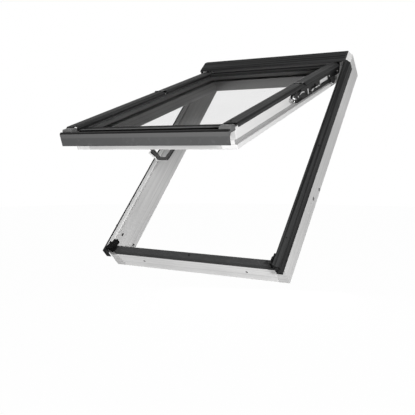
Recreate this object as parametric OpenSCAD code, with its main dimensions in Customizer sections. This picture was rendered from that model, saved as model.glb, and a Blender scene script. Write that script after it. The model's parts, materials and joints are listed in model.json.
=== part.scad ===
// Top-hung and pivoting roof window: a painted timber frame and sash under dark metal covers.
// The window stands at the pitch of its roof with the sash held open.
// X runs across the window, the roof rises towards +Y, and Z is up.
// The origin is the middle of the sill's back face.

/* [Frame] */
// Outside width of the frame
frame_w = 780; // [660:10:1140]
// Outside length of the frame along the roof
frame_h = 1180; // [1080:10:1400]
// Depth from the back of the frame to the ridge of its covers
frame_depth = 140; // [134:1:160]
// Pitch of the roof
roof_pitch = 45; // [15:1:60]
// Thickness of a jamb at its back face
jamb_base = 43; // [38:1:46]
// Thickness of the jamb's upright beside the sash
jamb_upright = 20; // [18:1:24]
// Height of the upright above the ledge
ledge_drop = 28; // [24:1:32]
// Width of the ledge inside the upright
ledge_w = 6; // [4:1:10]
// Thickness of the sill along the roof
sill_depth = 26; // [24:1:32]
// Drop from the ridge to the top of the sill
sill_drop = 40; // [40:1:46]
// Thickness of the head along the roof
head_depth = 50; // [46:1:54]
// Drop from the ridge to the top of the head
head_drop = 8; // [6:1:12]
// Distance of the bracket holes from the lower edge
bracket_y = 320; // [200:10:500]
// Distance between the two bracket holes of a jamb
bracket_pitch = 45; // [30:1:60]
// Radius of a bracket hole
bracket_r = 2.5; // [2:0.1:3.5]
// Depth of a bracket hole
bracket_deep = 24; // [15:1:28]

/* [Frame covers] */
// Sheet thickness of the covers
sheet = 2; // [1.5:0.1:2.5]
// Distance of the ridge line from the outer face
ridge_in = 18; // [12:1:18]
// Height of the sloping band outside the ridge
bevel_h = 19; // [14:1:24]
// Height of the jamb cover's side
cover_side = 58; // [50:1:66]
// Overhang of the jamb covers past the frame's lower face
cover_overhang = 20; // [14:1:24]
// Height of the sill cover's front lip
sill_lip = 22; // [16:1:26]
// Length of the hood along the roof
hood_len = 90; // [84:1:96]
// Rise of the hood's free edge above the ridge
hood_rise = 17; // [16:1:24]
// Height of the hood's turned down lip
hood_lip = 5; // [4:0.5:6]
// Width of a corner block on the sill
block_w = 20; // [16:1:20]
// Height of a corner block above the sill
block_rise = 32; // [24:1:34]

/* [Sash] */
// Angle that the sash stands open at
open_angle = 28; // [0:1:35]
// Gap between the sash covers and the jamb's upright
sash_gap = 14; // [12:1:18]
// Overhang of the sash front past the frame's lower edge
sash_overhang = 25; // [22:1:32]
// Overall depth of the sash
sash_depth = 92; // [84:1:96]
// Width of the stiles and the top rail
stile_w = 58; // [52:1:64]
// Width of the bottom rail
rail_w = 86; // [80:1:90]
// Inset of the timber from the edge of the covers
wood_inset = 22; // [22:1:24]
// Clearance between the sash timber and the sill
sill_clearance = 14; // [12:1:18]
// Clearance between the top of the sash and the hinge line
top_clearance = 8; // [6:1:12]
// Width of the upright that holds the glass edge
glazing_upright = 20; // [16:1:24]
// Height of the seal groove
groove_h = 16; // [14:1:18]
// Height of the flange below the seal groove
flange_h = 16; // [12:1:18]
// Depth of the seal groove
groove_deep = 8; // [7:1:10]

/* [Glazing] */
// Drop from the sash covers to the outer pane
glass_drop = 20; // [18:1:22]
// Thickness of a pane
pane_t = 4; // [3:0.5:5]
// Gap between the two panes
pane_gap = 16; // [12:1:18]
// Width of the spacer between the panes
spacer_w = 10; // [8:1:12]
// Gap between the glass and the timber round it
glass_play = 3; // [2:0.5:4]

/* [Sash covers] */
// Width of a side cover
cover_w = 60; // [56:1:66]
// Height of a side cover's outer flange
cover_flange = 15; // [14:1:17]
// Width of the sloping band at the outer edge
cover_bevel = 8; // [5:1:8]
// Length of the lowered tongue at the top of a side cover
tongue_len = 34; // [30:1:40]
// Drop of the tongue and of the top cover
top_drop = 10; // [9:0.5:11]
// Length of the bottom bead along the sash
bead_len = 42; // [40:1:46]
// Drop of the bottom bead
bead_drop = 14; // [12:1:15]
// Width of the gutter behind the sash front
gutter_w = 34; // [30:1:36]
// Height of the sash front
front_h = 50; // [42:1:54]
// Drop of the sash front's upper edge
front_drop = 10; // [8:1:11]
// Thickness of the sash front
front_t = 16; // [14:1:18]
// Inset of the sash front from the edge of the side covers
front_inset = 12; // [10:1:16]
// Length of the end caps of the gutter
cap_len = 42; // [30:1:50]

/* [Hinges] */
// Distance of the hinge line from the frame's upper edge
hinge_from_top = 68; // [66:1:72]
// Drop of the hinge line below the ridge
hinge_drop = 3; // [2:0.5:5]
// Distance of the pivot from the hinge line
pivot_from_hinge = 490; // [440:5:540]
// Drop of the pivot below the sash covers
pivot_drop = 4; // [3:0.5:4.5]
// Radius of the hinge pins and pivot pins
pin_r = 4; // [3:0.5:5]
// Running clearance of the pins
running = 0.05; // [0.02:0.01:0.09]
// Radius of the eyes round the pins
eye_r = 8; // [7.5:0.5:9]
// Thickness of a support arm
arm_t = 11; // [9:1:11]
// Height of a support arm
arm_h = 34; // [30:1:38]
// Length of a support arm past the pivot
arm_tail = 105; // [70:5:120]
// Length of the friction shoe on a support arm
shoe_len = 100; // [60:5:120]
// Length of the cover gap above the pivot
break_above = 17; // [16:1:22]
// Length of the cover gap below the pivot
break_below = 2; // [1.5:0.5:4]

/* [Handle] */
// Length of the handle base along the rail
base_len = 136; // [132:1:160]
// Width of the handle base
base_w = 30; // [26:1:34]
// Thickness of the handle base
base_t = 8; // [6:1:10]
// Distance between the legs of the handle at the base
bail_w = 98; // [90:1:102]
// Width of the grip at the foot of the handle
grip_w = 26; // [24:1:50]
// Drop of the grip below its hinge
bail_drop = 38; // [34:1:42]
// Thickness of the handle's bar
bar_t = 11; // [9:1:12]
// Lean of the handle towards the sill
bail_lean = 15; // [0:1:40]
// Radius of the handle's hinge pins
bail_pin_r = 3; // [2.5:0.5:3.5]

/* [Hidden] */
$fn = 48;

// Colours
timber_white = [0.90, 0.90, 0.89];
cover_grey = [0.22, 0.22, 0.23];
cap_grey = [0.42, 0.42, 0.43];
plastic_black = [0.06, 0.06, 0.06];
steel = [0.70, 0.71, 0.72];
seal_grey = [0.55, 0.55, 0.55];
glass_tint = [0.75, 0.82, 0.84, 0.35];

// Frame, across the window
side_x = frame_w / 2;
wood_x = side_x - sheet;
upright_x = wood_x - jamb_upright;
ledge_x = upright_x - ledge_w;
base_x = wood_x - jamb_base;
ridge_x = side_x - ridge_in;
lip_hook = 2;

// Frame, up from its back face
ledge_z = frame_depth - ledge_drop;
wood_top = frame_depth - sheet;
bevel_z = frame_depth - bevel_h;
cover_foot = frame_depth - cover_side;
sill_top = frame_depth - sill_drop;
head_top = frame_depth - head_drop;
function inner_x(z) = base_x + (ledge_x - base_x) * z / ledge_z;

// Frame, along the roof
head_y = frame_h - head_depth;
hinge_y = frame_h - hinge_from_top;
hinge_z = frame_depth - hinge_drop;
cover_past_hinge = 10;
hood_front = frame_h - hood_len;
hood_flange = 20;
block_step = 6;
block_front = 10;
block_back = 22;

// Sash, across the window
sash_x = upright_x - sash_gap;
stile_x = sash_x - wood_inset;
stile_in = stile_x - stile_w;
glazing_x = stile_x - glazing_upright;
glass_x = glazing_x - glass_play;
cover_in = sash_x - cover_w;
cover_slope = 10;
front_x = sash_x - front_inset;
butt_gap = 1;
arm_out = sash_x - cover_bevel - sheet / 2;
arm_x = arm_out - arm_t;

// Sash, down the slope from the hinge line
front_s = hinge_y + sash_overhang;
rail_s = hinge_y - sill_depth - sill_clearance;
rail_lip = glazing_upright / 2;
gutter_end_s = front_s - front_t;
gutter_s = gutter_end_s - gutter_w;
bead_s = gutter_s - bead_len;
glass_top_s = top_clearance + glazing_upright + glass_play;
glass_foot_s = rail_s - rail_lip - glass_play;
tongue_s = top_clearance + tongue_len;
top_cover_lap = 6;
top_cover_s = top_clearance + stile_w + top_cover_lap;
pivot_y = -pivot_from_hinge;

// Sash, down from the tops of its covers
glass_seat = 0.5;
gasket_t = 2;
gasket_top = glass_drop - gasket_t;
cover_rest = gasket_top - glass_seat;
rebate = glass_drop + 2 * pane_t + pane_gap + glass_seat;
gutter_drop = glass_drop + sheet;
groove_foot = sash_depth - flange_h;
groove_top = groove_foot - groove_h;
wood_head = cover_flange - 1;
arm_foot = cover_flange + arm_h;

// Handle, from the hinge line of the sash
bail_s = rail_s - rail_w * 0.78;
bail_axis = sash_depth + base_t + bar_t / 2 + glass_seat;
ear_t = 6;
ear_gap = 0.4;
ear_x = (bail_w + bar_t) / 2 + ear_gap;

// Puts a piece at its place on the roof
module installed() {
  rotate([roof_pitch, 0, 0]) translate([0, -sill_depth / 2, 0]) children();
}

// Puts a piece of the sash at its place, with the sash open
module opened() {
  installed() translate([0, hinge_y, hinge_z]) rotate([-open_angle, 0, 0]) children();
}

// Extrudes an outline drawn across the window from y0 to y1
module run_y(y0, y1) {
  translate([0, y1, 0]) rotate([90, 0, 0]) linear_extrude(y1 - y0) children();
}

// Extrudes an outline drawn along the roof from x0 to x1
module run_x(x0, x1) {
  translate([x0, 0, 0]) rotate([90, 0, 90]) linear_extrude(x1 - x0) children();
}

// Mirrors a right hand piece to the left when side is -1
module sided(side) {
  mirror([side < 0 ? 1 : 0, 0, 0]) children();
}

// A round bar along X
module bar_x(x0, x1, y, z, r) {
  translate([x0, y, z]) rotate([0, 90, 0]) cylinder(r = r, h = x1 - x0);
}

// A jamb: a tapering base, a ledge, and an upright beside the sash
module jamb(side) {
  color(timber_white) installed() sided(side) difference() {
    run_y(0, frame_h) polygon([
      [base_x, 0], [wood_x, 0], [wood_x, bevel_z], [ridge_x, wood_top],
      [upright_x, wood_top], [upright_x, ledge_z], [ledge_x, ledge_z]
    ]);
    for (shift = [-0.5, 0.5])
      bar_x(wood_x - bracket_deep, side_x, bracket_y + shift * bracket_pitch, cover_foot / 2, bracket_r);
  }
}

// The sill, cut to fit between the tapering jambs
module sill_rail() {
  top = sill_top - sheet;
  color(timber_white) installed() run_y(0, sill_depth)
    polygon([[-base_x, 0], [base_x, 0], [inner_x(top), top], [-inner_x(top), top]]);
}

// The head, stepped at its ends to sit on the ledges of the jambs
module head_rail() {
  color(timber_white) installed() run_y(head_y, frame_h) polygon([
    [-base_x, 0], [base_x, 0], [ledge_x, ledge_z], [upright_x, ledge_z],
    [upright_x, head_top], [-upright_x, head_top], [-upright_x, ledge_z], [-ledge_x, ledge_z]
  ]);
}

// A folded cover: a lip over the upright, a sloping band, a deep side and a closed lower end
module jamb_cover(side) {
  lip_x = upright_x - lip_hook;
  color(cover_grey) installed() sided(side) union() {
    run_y(-cover_overhang, hinge_y + cover_past_hinge) polygon([
      [lip_x, wood_top], [lip_x, frame_depth], [ridge_x, frame_depth],
      [side_x, bevel_z], [side_x, cover_foot], [wood_x, cover_foot], [wood_x, bevel_z], [ridge_x, wood_top]
    ]);
    run_y(-cover_overhang, -cover_overhang + sheet) polygon([
      [lip_x, ledge_z], [lip_x, frame_depth], [ridge_x, frame_depth], [side_x, bevel_z],
      [side_x, cover_foot], [upright_x, cover_foot]
    ]);
  }
}

module sill_cover() {
  reach = inner_x(sill_top) - butt_gap;
  color(cover_grey) installed() run_x(-reach, reach) polygon([
    [-sheet, sill_top - sill_lip], [0, sill_top - sill_lip], [0, sill_top - sheet],
    [sill_depth - sheet, sill_top - sheet], [sill_depth - sheet, sill_top], [-sheet, sill_top]
  ]);
}

// The hood over the head: a curved sheet with closed ends, a back flange and a turned down lip
module head_hood() {
  crest_y = head_y + head_depth * 0.6;
  crest_z = frame_depth + hood_rise * 0.8;
  edge_z = frame_depth + hood_rise;
  color(cover_grey) installed() union() {
    run_x(-ridge_x, ridge_x) polygon([
      [frame_h, head_top - hood_flange], [frame_h + sheet, head_top - hood_flange],
      [frame_h + sheet, frame_depth + sheet], [crest_y, crest_z], [hood_front + 3 * sheet, edge_z],
      [hood_front, edge_z - sheet], [hood_front, edge_z - hood_lip], [hood_front + sheet, edge_z - hood_lip],
      [hood_front + sheet, edge_z - 1.5 * sheet], [hood_front + 3 * sheet, edge_z - sheet],
      [crest_y, crest_z - sheet], [frame_h, frame_depth]
    ]);
    for (side = [-1, 1])
      sided(side) run_x(ridge_x - sheet, ridge_x) polygon([
        [frame_h, frame_depth], [crest_y, crest_z - sheet / 2], [hood_front + 3 * sheet, edge_z - sheet / 2],
        [hood_front + sheet / 2, edge_z - 1.5 * sheet], [hood_front + sheet / 2, frame_depth]
      ]);
  }
}

// A moulded block in the corner between the sill cover and the jamb, low under the closed side cover
module sill_block(side) {
  block_x = upright_x - block_w;
  tall_z = sill_top + block_rise;
  low_z = hinge_z - cover_flange - 2 * sheet;
  tall_y = hinge_y - gutter_s - 3 * butt_gap;
  end_y = tall_y + block_back;
  color(plastic_black) installed() sided(side) difference() {
    run_y(-block_front, end_y) polygon([
      [block_x, sill_top], [inner_x(sill_top), sill_top], [ledge_x, ledge_z], [upright_x, ledge_z],
      [upright_x, tall_z], [block_x + block_step, tall_z], [block_x, tall_z - block_step]
    ]);
    run_x(0, side_x) polygon([
      [tall_y, tall_z + sheet], [tall_y, low_z], [end_y + sheet, low_z], [end_y + sheet, tall_z + sheet]
    ]);
    run_x(0, side_x) polygon([
      [-2 * block_front, tall_z - block_front], [block_front, tall_z + block_front],
      [-2 * block_front, tall_z + block_front]
    ]);
  }
}

// The striker plate of the lock, on the inner face of the sill
module lock_keep() {
  keep_w = 70;
  keep_h = 34;
  keep_t = 3;
  keep_top = sill_top - 8;
  color(steel) installed() difference() {
    translate([-keep_w / 2, sill_depth, keep_top - keep_h]) cube([keep_w, keep_t, keep_h]);
    translate([-keep_w / 4, sill_depth - keep_t, keep_top - keep_h * 0.66])
      cube([keep_w / 2, 3 * keep_t, keep_h / 3]);
  }
}

// A bracket on the head, with the pin that the support arm turns on
module hinge_bracket(side) {
  ear = 4;
  ear_in = arm_out + butt_gap;
  foot_w = 24;
  foot_t = 3;
  foot_z = ledge_z - 10;
  color(steel) installed() sided(side) union() {
    translate([ear_in, hinge_y, hinge_z - eye_r]) cube([ear, head_y - hinge_y, 1.6 * eye_r]);
    bar_x(ear_in, ear_in + ear, hinge_y, hinge_z, eye_r);
    translate([ear_in + ear - foot_w, head_y - foot_t, foot_z]) cube([foot_w, foot_t, head_top - foot_z]);
    bar_x(arm_x, ear_in + ear / 2, hinge_y, hinge_z, pin_r);
  }
}

// A support arm from the hinge line past the pivot, with eyes for both pins and lightening pockets
module support_arm(side) {
  neck = 2.5 * eye_r;
  slim = eye_r * 0.7;
  tail_y = pivot_y - arm_tail;
  tail_top = cover_flange + arm_h * 0.3;
  tail_foot = groove_top - 3 * butt_gap;
  corner = eye_r * 1.5;
  under_tongue = top_drop + sheet + butt_gap;
  pocket = 60;
  pocket_t = 3;
  color(plastic_black) opened() sided(side) difference() {
    union() {
      run_x(arm_x, arm_out) polygon([
        [slim, -slim], [-neck, -arm_foot], [pivot_y, -arm_foot], [pivot_y - neck, -tail_foot],
        [tail_y + corner, -tail_foot], [tail_y, -tail_foot + corner], [tail_y + slim, -tail_top],
        [pivot_y - neck, -tail_top], [pivot_y - slim, -pivot_drop - slim], [pivot_y, -pivot_drop - butt_gap],
        [pivot_y + eye_r, -pivot_drop - butt_gap], [pivot_y + 2 * eye_r, -sheet], [-tongue_s - neck, -sheet],
        [-tongue_s - neck, -under_tongue], [-1.2 * eye_r, -under_tongue], [-slim, -slim]
      ]);
      bar_x(arm_x, arm_out, 0, 0, eye_r);
      bar_x(arm_x, arm_out, pivot_y, -pivot_drop, eye_r);
    }
    bar_x(arm_x - 1, arm_out + 1, 0, 0, pin_r + running);
    bar_x(arm_x - 1, arm_out + 1, pivot_y, -pivot_drop, pin_r + running);
    for (share = [0.2, 0.76])
      translate([arm_out - pocket_t, pivot_y * share - pocket / 2, -arm_foot + arm_h * 0.25])
        cube([2 * pocket_t, pocket, arm_h / 3]);
  }
}

// The bright friction shoe on the outside of a support arm, halfway along it
module brake_shoe(side) {
  shoe_t = 3;
  shoe_h = arm_h * 0.42;
  shoe_y = (pivot_y - shoe_len) / 2;
  shoe_z = -cover_flange - arm_h * 0.8;
  rivet_r = 4;
  rivet_rise = 1;
  color(steel) opened() sided(side) union() {
    translate([arm_out, shoe_y, shoe_z]) cube([shoe_t, shoe_len, shoe_h]);
    for (share = [0.2, 0.8])
      bar_x(arm_out, arm_out + shoe_t + rivet_rise, shoe_y + shoe_len * share, shoe_z + shoe_h / 2, rivet_r);
  }
}

// A side cover: a flat top that slopes to the glass, a sloping band and an outer flange
module side_cover_outline() {
  shoulder = 6;
  polygon([
    [cover_in, -cover_rest], [cover_in, -shoulder], [cover_in + cover_slope, 0], [sash_x - cover_bevel, 0],
    [sash_x, -cover_bevel], [sash_x, -cover_flange], [sash_x - sheet, -cover_flange],
    [sash_x - sheet, -cover_bevel], [sash_x - cover_bevel - sheet / 2, -sheet],
    [cover_in + cover_slope, -sheet], [cover_in + sheet, -shoulder - sheet / 2],
    [cover_in + sheet, -cover_rest]
  ]);
}

// The part of a side cover that stays on the support arm, with a lowered tongue under the hood
module upper_cover(side) {
  tongue_w = cover_w - cover_bevel;
  color(cover_grey) opened() sided(side) union() {
    run_y(pivot_y + break_above, -tongue_s) side_cover_outline();
    translate([cover_in, -tongue_s - sheet, -top_drop - sheet]) cube([tongue_w, tongue_len, sheet]);
    translate([cover_in + cover_slope, -tongue_s - sheet, -top_drop - sheet])
      cube([tongue_w - cover_slope - sheet, sheet, top_drop + sheet]);
  }
}

// The part of a side cover that swings with the sash, notched round the eye of the support arm
module lower_cover(side) {
  color(cover_grey) opened() sided(side) difference() {
    run_y(-gutter_s, pivot_y - break_below) side_cover_outline();
    bar_x(stile_x - butt_gap, arm_out + butt_gap, pivot_y, -pivot_drop, eye_r + butt_gap);
  }
}

// A stile with a glass rebate and a seal groove
module stile(side) {
  color(timber_white) opened() sided(side) run_y(-rail_s, -top_clearance) polygon([
    [stile_in, -sash_depth], [stile_x, -sash_depth], [stile_x, -groove_foot],
    [stile_x - groove_deep, -groove_foot], [stile_x - groove_deep, -groove_top], [stile_x, -groove_top],
    [stile_x, -wood_head], [glazing_x, -wood_head], [glazing_x, -rebate], [stile_in, -rebate]
  ]);
}

module top_rail() {
  color(timber_white) opened() run_x(-stile_in, stile_in) polygon([
    [-top_clearance, -sash_depth], [-top_clearance, -wood_head],
    [-top_clearance - glazing_upright, -wood_head], [-top_clearance - glazing_upright, -rebate],
    [-top_clearance - stile_w, -rebate], [-top_clearance - stile_w, -sash_depth]
  ]);
}

module bottom_rail() {
  color(timber_white) opened() run_x(-stile_in, stile_in) polygon([
    [-rail_s, -sash_depth], [-rail_s, -gutter_drop], [-rail_s + rail_lip, -gutter_drop],
    [-rail_s + rail_lip, -rebate], [-rail_s + rail_w, -rebate], [-rail_s + rail_w, -sash_depth]
  ]);
}

module top_cover() {
  nose = 4;
  color(cover_grey) opened() run_x(-cover_in + butt_gap, cover_in - butt_gap) polygon([
    [-top_clearance, -wood_head], [-top_clearance, -top_drop], [-top_cover_s + nose, -top_drop],
    [-top_cover_s, -top_drop - nose], [-top_cover_s, -cover_rest], [-top_cover_s + sheet, -cover_rest],
    [-top_cover_s + sheet, -wood_head]
  ]);
}

// The bead that holds the foot of the glass and forms the back of the gutter
module bottom_bead() {
  nose = 3;
  color(cover_grey) opened() run_x(-cover_in + butt_gap, cover_in - butt_gap) polygon([
    [-bead_s, -cover_rest], [-bead_s, -bead_drop - nose / 2], [-bead_s - nose, -bead_drop],
    [-gutter_s + nose, -bead_drop], [-gutter_s, -bead_drop - nose], [-gutter_s, -gutter_drop],
    [-gutter_s + sheet, -gutter_drop], [-gutter_s + sheet, -bead_drop - sheet],
    [-bead_s - nose, -bead_drop - sheet], [-bead_s - sheet, -cover_rest]
  ]);
}

// The front of the sash: a round nose, a deep face that leans back, and the floor of the gutter
module front_profile() {
  nose = front_t / 2;
  floor_z = -gutter_drop - sheet;
  foot_z = -front_drop - front_h;
  lean = 2;
  face_t = 4;
  color(cover_grey) opened() union() {
    run_x(-front_x, front_x) union() {
      translate([-gutter_end_s - sheet, floor_z]) square([gutter_w + sheet, sheet]);
      translate([-front_s + nose, -front_drop - nose]) circle(r = nose);
      polygon([
        [-front_s, -front_drop - nose], [-gutter_end_s, -front_drop - nose], [-gutter_end_s, floor_z],
        [-front_s + lean + face_t, floor_z - nose], [-front_s + lean + face_t, foot_z],
        [-front_s + lean, foot_z]
      ]);
    }
    translate([-stile_in, -gutter_s - sheet, floor_z]) cube([2 * stile_in, gutter_s + sheet - rail_s, sheet]);
  }
}

// A moulded cap that closes one end of the gutter
module front_cap(side) {
  crown = 3;
  color(cap_grey) opened() sided(side) run_x(front_x - cap_len, front_x) polygon([
    [-gutter_s - glass_seat, -gutter_drop], [-gutter_s - glass_seat, -2 * crown],
    [-gutter_s - 2 * crown, -crown], [-gutter_end_s + crown, -crown], [-gutter_end_s, -front_drop],
    [-gutter_end_s, -gutter_drop]
  ]);
}

// A sheet of glass below the cover tops
module pane(drop) {
  color(glass_tint) opened() translate([-glass_x, -glass_foot_s, -drop - pane_t])
    cube([2 * glass_x, glass_foot_s - glass_top_s, pane_t]);
}

// A flat ring that follows the edge of the glass
module glass_ring(width, drop, height) {
  translate([0, 0, -drop - height]) linear_extrude(height) difference() {
    translate([-glass_x, -glass_foot_s]) square([2 * glass_x, glass_foot_s - glass_top_s]);
    translate([-glass_x + width, -glass_foot_s + width])
      square([2 * (glass_x - width), glass_foot_s - glass_top_s - 2 * width]);
  }
}

module spacer_frame() {
  color(plastic_black) opened() glass_ring(spacer_w, glass_drop + pane_t, pane_gap);
}

module glazing_gasket() {
  color(plastic_black) opened() glass_ring(glass_x - cover_in, gasket_top, gasket_t);
}

// The ribbed seal in the groove of a stile
module side_seal(side) {
  play = 1;
  web = groove_deep / 2;
  rib_r = 1.6;
  middle = -groove_top - groove_h / 2;
  color(seal_grey) opened() sided(side) run_y(-rail_s + play, -top_clearance - play) union() {
    translate([stile_x - groove_deep, -groove_foot + play]) square([web, groove_h - 2 * play]);
    for (rib = [-0.3, 0, 0.3])
      translate([stile_x - web, middle + rib * groove_h]) circle(r = rib_r);
  }
}

// The bulb seal along the front of the bottom rail
module bottom_seal() {
  web = 3;
  bulb_r = 2.5;
  color(seal_grey) opened() run_x(-stile_in, stile_in) union() {
    translate([-rail_s - web, -groove_foot]) square([web, groove_h]);
    translate([-rail_s - web, -groove_foot + groove_h / 2]) circle(r = bulb_r);
  }
}

// A steel block on the stile with the pin that the support arm carries
module pivot_pin(side) {
  block_len = 28;
  block_top = -sheet - glass_seat;
  color(steel) opened() sided(side) union() {
    translate([glazing_x, pivot_y - block_len / 2, -wood_head])
      cube([glazing_upright, block_len, wood_head + block_top]);
    bar_x(stile_x - butt_gap / 2, arm_out, pivot_y, -pivot_drop, pin_r);
  }
}

module lock_case() {
  case_w = 60;
  case_t = 3;
  case_h = 26;
  case_z = -groove_top + case_t / 2;
  color(steel) opened()
    translate([-case_w / 2, -rail_s - case_t, case_z]) cube([case_w, case_t, case_h]);
}

// The plate of the handle, with an ear at each end
module handle_base() {
  ear_r = bar_t / 2;
  ear_h = bail_axis - sash_depth - base_t / 2;
  color(steel) opened() translate([0, -bail_s, 0]) difference() {
    union() {
      translate([-base_len / 2, -base_w / 2, -sash_depth - base_t]) cube([base_len, base_w, base_t]);
      for (side = [-1, 1])
        sided(side) union() {
          bar_x(ear_x, ear_x + ear_t, 0, -bail_axis, ear_r);
          translate([ear_x, -ear_r, -bail_axis]) cube([ear_t, 2 * ear_r, ear_h]);
        }
    }
    bar_x(-base_len, base_len, 0, -bail_axis, bail_pin_r + running);
  }
}

// The handle: two leaning legs and a short grip, with a pin at each end
module handle_bail() {
  half = bar_t / 2;
  color(plastic_black) opened() translate([0, -bail_s, -bail_axis]) rotate([-bail_lean, 0, 0]) union() {
    run_y(-half, half) difference() {
      polygon([
        [-bail_w / 2 - half, 0], [-grip_w / 2 - half, -bail_drop - half],
        [grip_w / 2 + half, -bail_drop - half], [bail_w / 2 + half, 0]
      ]);
      polygon([
        [-bail_w / 2 + half, 1], [-bail_w / 2 + half, 0], [-grip_w / 2, -bail_drop + half],
        [grip_w / 2, -bail_drop + half], [bail_w / 2 - half, 0], [bail_w / 2 - half, 1]
      ]);
    }
    for (side = [-1, 1])
      sided(side) union() {
        bar_x(bail_w / 2 - half, bail_w / 2 + half, 0, 0, half);
        bar_x(bail_w / 2, ear_x + ear_t, 0, 0, bail_pin_r);
      }
  }
}

jamb(-1);  // jamb_left
jamb(1);  // jamb_right
head_rail();
sill_rail();
jamb_cover(-1);  // jamb_cover_left
jamb_cover(1);  // jamb_cover_right
sill_cover();
head_hood();
sill_block(-1);  // sill_block_left
sill_block(1);  // sill_block_right
lock_keep();
hinge_bracket(-1);  // hinge_bracket_left
hinge_bracket(1);  // hinge_bracket_right
support_arm(-1);  // support_arm_left
support_arm(1);  // support_arm_right
brake_shoe(-1);  // brake_shoe_left
brake_shoe(1);  // brake_shoe_right
upper_cover(-1);  // upper_cover_left
upper_cover(1);  // upper_cover_right
stile(-1);  // stile_left
stile(1);  // stile_right
top_rail();
bottom_rail();
lower_cover(-1);  // lower_cover_left
lower_cover(1);  // lower_cover_right
top_cover();
bottom_bead();
front_profile();
front_cap(-1);  // front_cap_left
front_cap(1);  // front_cap_right
pane(glass_drop);  // outer_pane
pane(glass_drop + pane_t + pane_gap);  // inner_pane
spacer_frame();
glazing_gasket();
side_seal(-1);  // side_seal_left
side_seal(1);  // side_seal_right
bottom_seal();
pivot_pin(-1);  // pivot_pin_left
pivot_pin(1);  // pivot_pin_right
lock_case();
handle_base();
handle_bail();
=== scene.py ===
# %% [markdown]
# # A roof window, painted and lit
# The window is a timber frame that lies in a pitched roof, and a glazed sash that hangs open from its head.
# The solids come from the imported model. This lesson gives each of them a finish and softens its edges.
# Then it adds the screws, springs and strips that are too small for the solids, and sets light and camera.

# %% Load the frame
import json
import math

import bmesh
import bpy
from mathutils import Matrix, Vector


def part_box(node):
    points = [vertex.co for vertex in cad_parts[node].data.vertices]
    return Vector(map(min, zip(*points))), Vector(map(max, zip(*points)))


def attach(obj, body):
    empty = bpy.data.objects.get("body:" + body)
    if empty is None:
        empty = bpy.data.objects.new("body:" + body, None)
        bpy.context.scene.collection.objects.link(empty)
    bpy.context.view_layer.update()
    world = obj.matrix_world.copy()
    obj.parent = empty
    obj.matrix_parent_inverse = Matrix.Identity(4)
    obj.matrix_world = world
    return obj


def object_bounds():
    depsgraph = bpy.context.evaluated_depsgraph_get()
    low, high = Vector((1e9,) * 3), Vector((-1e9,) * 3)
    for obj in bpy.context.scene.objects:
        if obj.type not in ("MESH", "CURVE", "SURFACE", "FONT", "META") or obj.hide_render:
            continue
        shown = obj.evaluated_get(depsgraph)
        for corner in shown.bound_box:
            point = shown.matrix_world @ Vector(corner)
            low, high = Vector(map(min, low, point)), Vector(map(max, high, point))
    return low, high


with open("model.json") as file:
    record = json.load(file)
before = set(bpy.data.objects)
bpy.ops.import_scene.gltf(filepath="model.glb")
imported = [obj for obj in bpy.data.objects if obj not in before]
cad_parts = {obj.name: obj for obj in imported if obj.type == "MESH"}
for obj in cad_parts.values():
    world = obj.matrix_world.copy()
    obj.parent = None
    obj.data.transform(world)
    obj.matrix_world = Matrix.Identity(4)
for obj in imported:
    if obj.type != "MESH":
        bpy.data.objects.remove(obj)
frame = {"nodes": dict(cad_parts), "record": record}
cad_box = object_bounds()
nodes = frame["nodes"]

# %% [markdown]
# ## Where things are
# The frame lies at the pitch of the roof, and the sash hangs from the top hinge at its own slope.
# Both slopes could be typed in again, but the record already knows them: the back of the sill is a mount,
# and its axis leans with the roof, while the top hinge says how far the sash is from closed.
# Two small functions then turn a place on the flat frame, or on the flat sash, into a place in the scene.

# %% Slopes and places
SILL_HALF = 0.013

record = frame["record"]
joints = {joint["name"]: joint for joint in record["behaviour"]["joints"]}
mounts = {mount["name"]: mount for mount in record["mounts"]}
back_axis = Vector(mounts["sill_back"]["axis"])
hinge = Vector(joints["top_hung"]["pos_m"])
opening = math.radians(-joints["top_hung"]["range_deg"][0])
pitch = math.atan2(back_axis.y, -back_axis.z)
slope = pitch - opening
roof_turn = Matrix.Rotation(pitch, 3, "X")
sash_turn = Matrix.Rotation(slope, 3, "X")


def on_frame(across, up_roof, out):
    """A place on the frame: across it, up the roof from its lower face, and out from its back face."""
    return roof_turn @ Vector((across, up_roof - SILL_HALF, out))


def on_sash(across, down, out):
    """A place on the sash: across it, down from the hinge line, and out from the tops of its covers."""
    return hinge + sash_turn @ Vector((across, -down, out))


print("roof", round(math.degrees(pitch), 1), "sash", round(math.degrees(slope), 1), "degrees")

# %% [markdown]
# ## Sums with sockets
# A material is a graph of nodes, and wiring it by hand hides what it works out.
# A small class wraps a socket so that Python's own operators add the Math nodes, and a sum reads as a sum.
# Every other node comes from one method, which takes its type, its settings and its inputs.

# %% The socket class


class Sock:
    """A shader value that takes part in Python sums."""

    def __init__(self, finish, socket):
        self.finish = finish
        self.socket = socket

    def math(self, operation, other=0.0, swap=False):
        pair = (other, self) if swap else (self, other)
        return self.finish.node("ShaderNodeMath", {"operation": operation}, dict(enumerate(pair)))

    def __add__(self, other):
        return self.math("ADD", other)

    def __sub__(self, other):
        return self.math("SUBTRACT", other)

    def __rsub__(self, other):
        return self.math("SUBTRACT", other, swap=True)

    def __mul__(self, other):
        return self.math("MULTIPLY", other)

    def __abs__(self):
        return self.math("ABSOLUTE")

    __radd__ = __add__


print("socket class ready")

# %% [markdown]
# ## A finish
# Paint, lacquer, plastic and zinc all use the same few steps: noise, a soft step, a blend of colours, a bump.
# They could be copied from one material to the next. Here they are methods of one class, so that each finish
# below is only a short list of what makes it different.
# Two of the methods measure along the slope and out from it, because the timbers and covers lie on slopes.

# %% The finish class


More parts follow.
